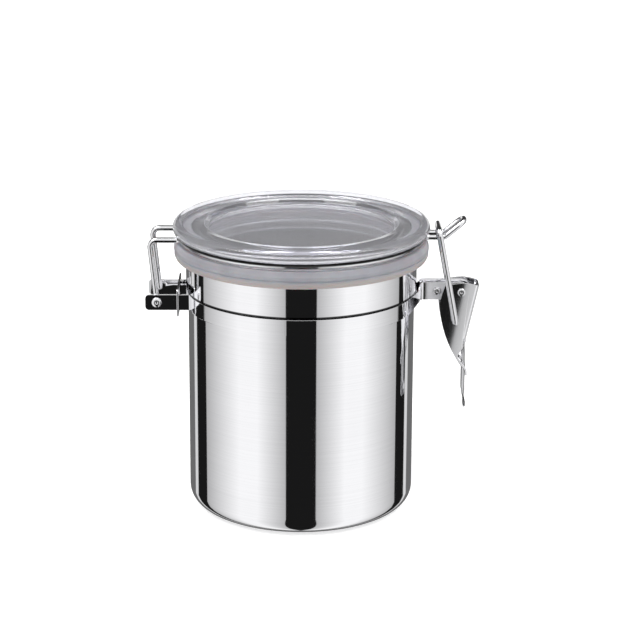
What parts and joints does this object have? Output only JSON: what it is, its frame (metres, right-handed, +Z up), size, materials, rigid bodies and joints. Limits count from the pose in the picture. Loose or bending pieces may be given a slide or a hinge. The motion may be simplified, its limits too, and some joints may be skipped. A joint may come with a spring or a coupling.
{
  "type": "food canister",
  "caption": "Round steel food canister with a clear sealed lid on a wire hinge and a toggle latch of sheet steel and wire.",
  "frame": {"origin": "centre of the flat base, on the surface that the canister stands on", "axes": "+Z up along the cup's axis, +X from the axis toward the latch, -X toward the lid's hinge"},
  "size_m": [0.1242, 0.0954, 0.1109],
  "materials": {
    "mirror_steel": "mirror polished stainless steel",
    "strap_steel": "polished stainless sheet",
    "wire_steel": "bright drawn wire",
    "rivet_steel": "turned and riveted steel",
    "clear_acrylic": "clear gloss moulding, faint grey tint",
    "milky_silicone": "translucent soft silicone"
  },
  "bodies": {
    "canister": {"canister_body": "mirror_steel", "strap_front": "strap_steel", "strap_back": "strap_steel", "hinge_tie_plate": "strap_steel", "clamp_rivet": "rivet_steel", "clamp_spacer": "rivet_steel"},
    "lid": {"lid_cover": "clear_acrylic", "lid_gasket": "milky_silicone", "lid_wire": "wire_steel"},
    "lever": {"latch_lever": "strap_steel", "latch_pin": "rivet_steel", "latch_spacers": "rivet_steel"},
    "bail": {"toggle_bail": "wire_steel"}
  },
  "joints": [
    {"name": "lid_hinge", "type": "hinge", "parent": "canister", "child": "lid", "pos_m": [-0.0535, 0, 0.0804], "axis": [0, -1, 0], "range_deg": [0, 195]},
    {"name": "lever_pivot", "type": "hinge", "parent": "canister", "child": "lever", "pos_m": [0.0596, 0, 0.08285], "axis": [0, -1, 0], "range_deg": [0, 105]},
    {"name": "bail_pivot", "type": "hinge", "parent": "lever", "child": "bail", "pos_m": [0.0575, 0, 0.07135], "axis": [0, -1, 0], "range_deg": [-78.75, 0]}
  ],
  "couplings": [
    {"joint": "bail_pivot", "follows": "lever_pivot", "ratio": -0.75}
  ]
}
